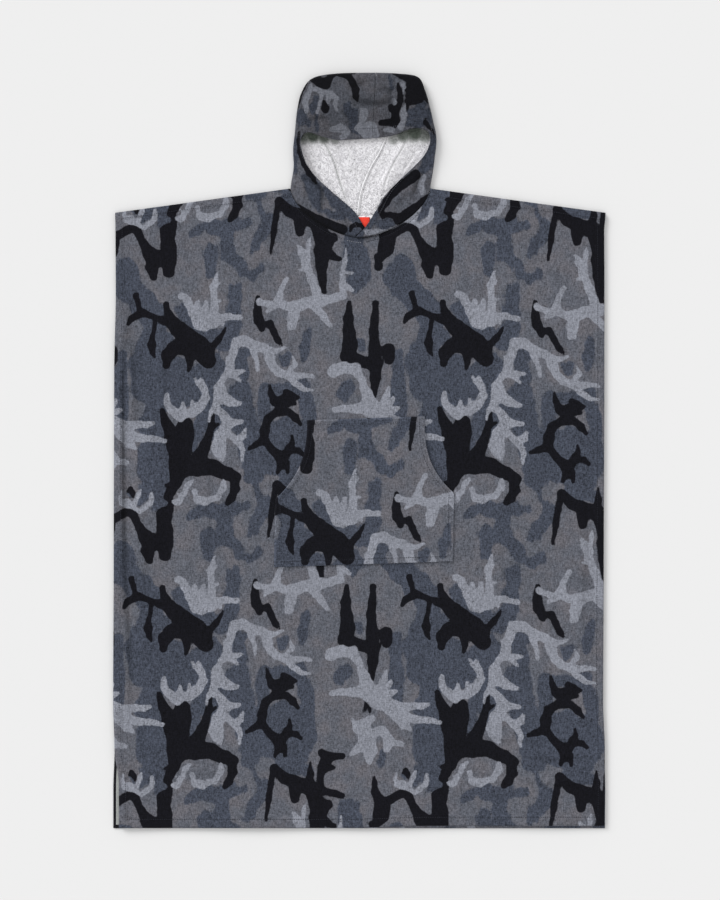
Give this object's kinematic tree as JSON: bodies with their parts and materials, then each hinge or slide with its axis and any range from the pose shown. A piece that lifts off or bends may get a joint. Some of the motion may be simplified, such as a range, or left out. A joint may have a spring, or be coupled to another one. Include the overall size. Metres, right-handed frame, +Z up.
{
  "type": "hooded bath poncho",
  "caption": "Hooded towelling poncho laid flat and face up: square-cut front and back with open arm sides and hem vents, a kangaroo pocket and a two-piece hood spread open.",
  "frame": {"origin": "on the surface the poncho lies on, under the middle of its bounding box", "axes": "+Y from the hem to the hood, +Z up out of the front of the cloth, +X to the right for someone who looks down at the front"},
  "size_m": [0.8028, 1.232, 0.018],
  "materials": {
    "printed_towelling": "cotton velour outside with a woodland print in warm grey, slate, pale grey and black; pale grey loops inside",
    "label_ribbon": "plain red woven ribbon, left blank"
  },
  "bodies": {
    "root": {"back": "printed_towelling", "front": "printed_towelling", "pocket": "printed_towelling", "hood_left": "printed_towelling", "hood_right": "printed_towelling", "neck_label": "label_ribbon"}
  },
  "joints": []
}
